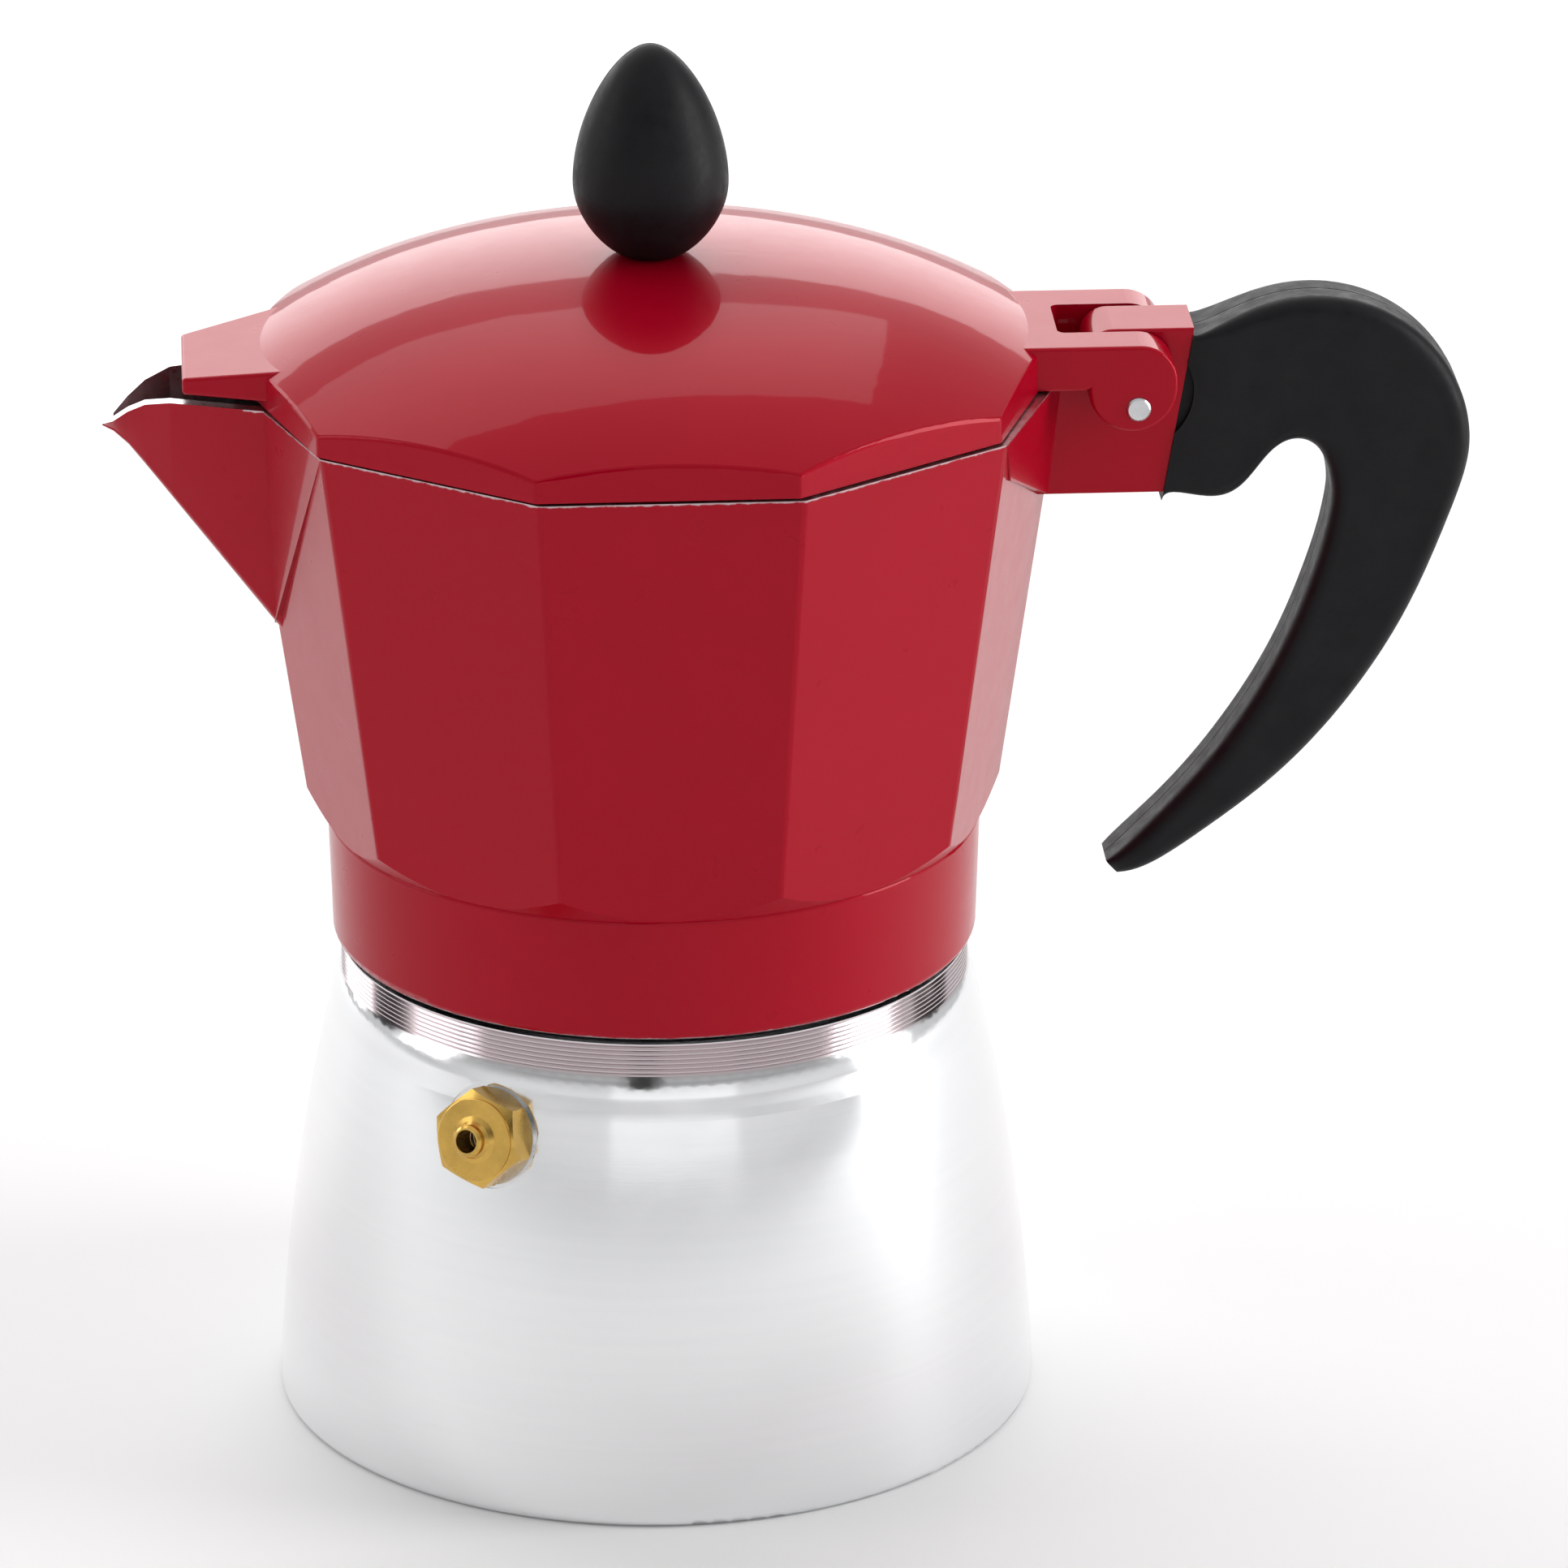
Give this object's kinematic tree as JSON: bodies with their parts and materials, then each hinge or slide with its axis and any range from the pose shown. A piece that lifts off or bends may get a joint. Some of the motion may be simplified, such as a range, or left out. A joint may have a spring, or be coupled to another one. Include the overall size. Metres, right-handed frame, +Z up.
{
  "type": "moka pot",
  "caption": "Stovetop moka pot with a ribbed aluminium boiler, a faceted red jug and lid, a black knob and a looped side handle.",
  "frame": {"origin": "centre of the boiler's flat bottom face", "axes": "+Z up along the pot's axis, +X towards the handle, spout along -X"},
  "size_m": [0.1582, 0.0912, 0.1654],
  "materials": {
    "polished_aluminium": "polished",
    "spun_aluminium": "satin",
    "red_enamel": "metallic gloss",
    "black_plastic": "satin",
    "brass": "satin",
    "steel": "satin",
    "valve_washer_steel": "satin",
    "seal_rubber": "matte"
  },
  "bodies": {
    "boiler": {"boiler": "polished_aluminium", "valve_washer": "valve_washer_steel", "valve_body": "brass", "valve_seat": "brass", "valve_spring": "steel"},
    "valve_ball": {"valve_ball": "steel"},
    "funnel": {"funnel": "spun_aluminium", "funnel_filter": "spun_aluminium"},
    "seal_set": {"gasket": "seal_rubber", "filter_plate": "spun_aluminium"},
    "collector": {"collector": "red_enamel", "column": "spun_aluminium", "hinge_pin": "steel", "handle": "black_plastic", "handle_screw": "steel"},
    "lid": {"lid": "red_enamel", "knob": "black_plastic", "knob_insert": "brass", "knob_washer": "steel", "knob_screw": "steel"}
  },
  "joints": [
    {"name": "valve_relief", "type": "slide", "parent": "boiler", "child": "valve_ball", "axis": [-0.5159, -0.8256, 0.2284], "range_m": [0, 0.0012], "stiffness_N_per_m": 400, "deforming": ["valve_spring"]},
    {"name": "funnel_lift", "type": "slide", "parent": "boiler", "child": "funnel", "axis": [0, 0, 1], "range_m": [0, 0.075]},
    {"name": "collector_lift", "type": "slide", "parent": "funnel", "child": "seal_set", "axis": [0, 0, 1], "range_m": [0, 0.03]},
    {"name": "collector_unscrew", "type": "hinge", "parent": "seal_set", "child": "collector", "pos_m": [0, 0, 0.07], "axis": [0, 0, 1], "range_deg": [0, 1080]},
    {"name": "lid_hinge", "type": "hinge", "parent": "collector", "child": "lid", "pos_m": [0.0554, 0, 0.1239], "axis": [0, 1, 0], "range_deg": [0, 100]}
  ]
}
